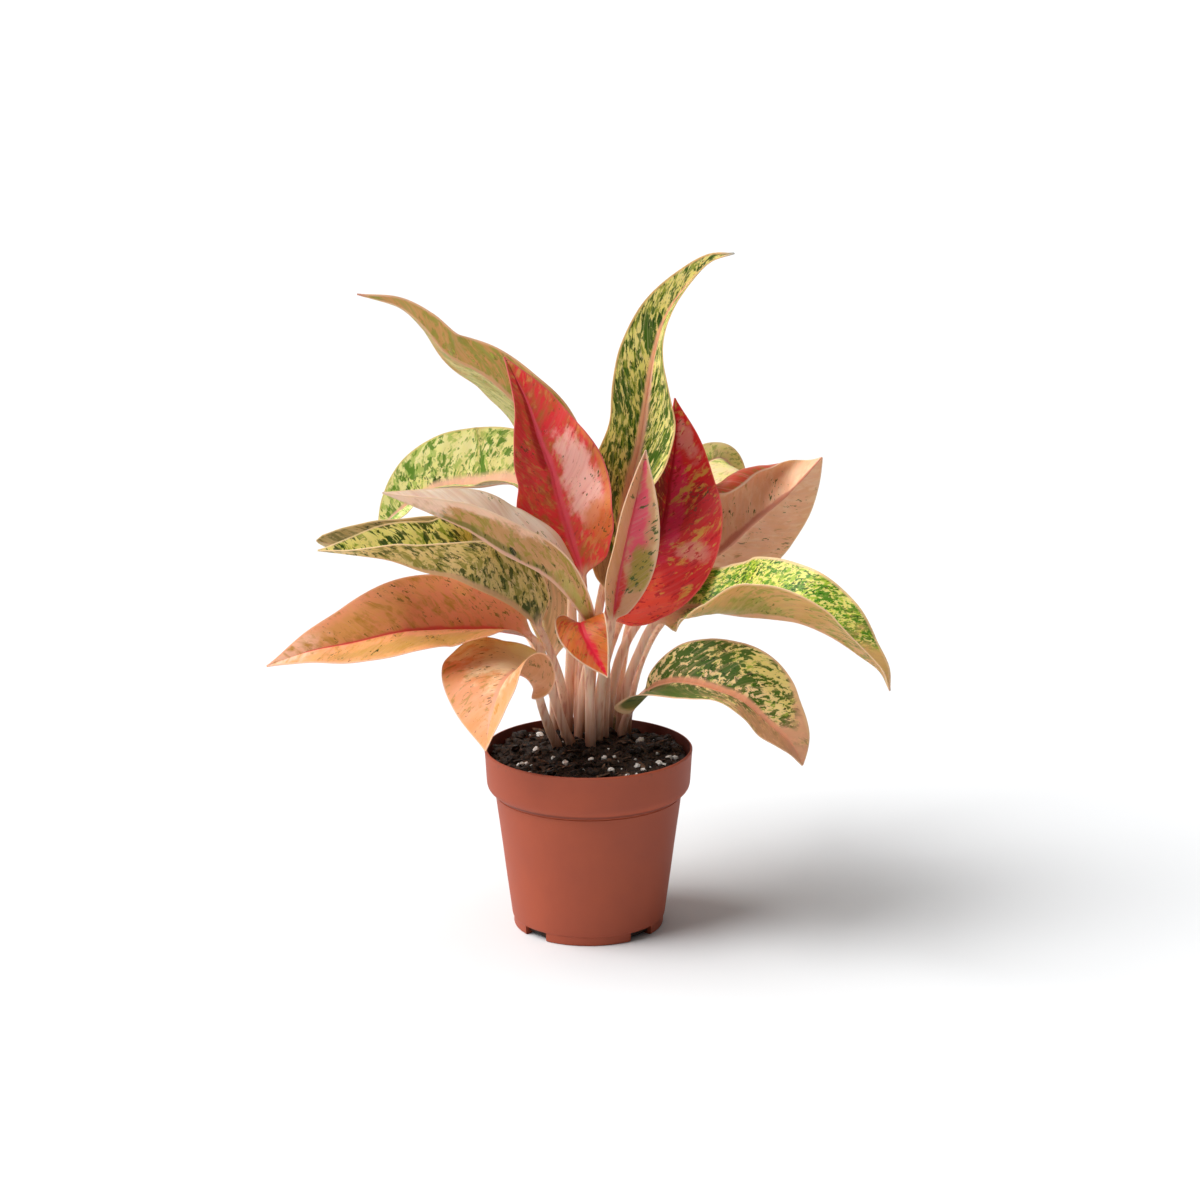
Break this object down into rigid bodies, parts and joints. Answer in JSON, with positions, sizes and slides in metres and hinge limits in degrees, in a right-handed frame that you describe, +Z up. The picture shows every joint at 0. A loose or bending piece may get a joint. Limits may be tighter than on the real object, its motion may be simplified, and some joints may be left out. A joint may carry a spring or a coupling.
{
  "type": "potted prosperity chinese evergreen",
  "caption": "Potted Chinese evergreen with long stalks and waved, folded leaves in red, salmon and mottled green, standing in a round tapered plastic nursery pot.",
  "frame": {"origin": "middle of the pot's base, on the surface it stands on", "axes": "+Z up along the pot's axis, -Y towards the front of the plant, +X to its right as seen from the front"},
  "size_m": [0.3148, 0.2102, 0.3496],
  "materials": {
    "pot_plastic": "moulded terracotta-coloured polypropylene, fine matte grain",
    "potting_mix": "damp peat mix with perlite and bark, loose and rough",
    "cane": "corky brown-green cane with ring scars",
    "leaf_red": "waxy living leaf, crimson with olive mottling, soft gloss",
    "leaf_mottled": "waxy living leaf, dark green flecks on yellow-green and peach, soft gloss",
    "leaf_salmon": "waxy living leaf, salmon with a pink midrib and sparse dark specks, soft gloss",
    "leaf_pale": "waxy living leaf, pale peach and olive back, satin"
  },
  "bodies": {
    "root": {"pot": "pot_plastic", "soil": "potting_mix", "stem_middle": "cane", "stem_left": "cane", "stem_right": "cane", "leaf_red_left": "leaf_red", "leaf_red_right": "leaf_red", "leaf_young": "leaf_red", "leaf_front_tip": "leaf_red", "leaf_tall": "leaf_mottled", "leaf_left_mottled": "leaf_mottled", "leaf_left_big": "leaf_mottled", "leaf_right_arch": "leaf_mottled", "leaf_right_low": "leaf_mottled", "leaf_right_rear": "leaf_mottled", "leaf_rear_tall": "leaf_mottled", "leaf_rear_low_left": "leaf_mottled", "leaf_rear_low_right": "leaf_mottled", "leaf_left_low": "leaf_salmon", "leaf_left_salmon": "leaf_salmon", "leaf_rear_right": "leaf_salmon", "leaf_left_pale": "leaf_pale", "leaf_left_high": "leaf_pale", "leaf_left_olive": "leaf_pale", "leaf_right_peach": "leaf_pale"}
  },
  "joints": []
}
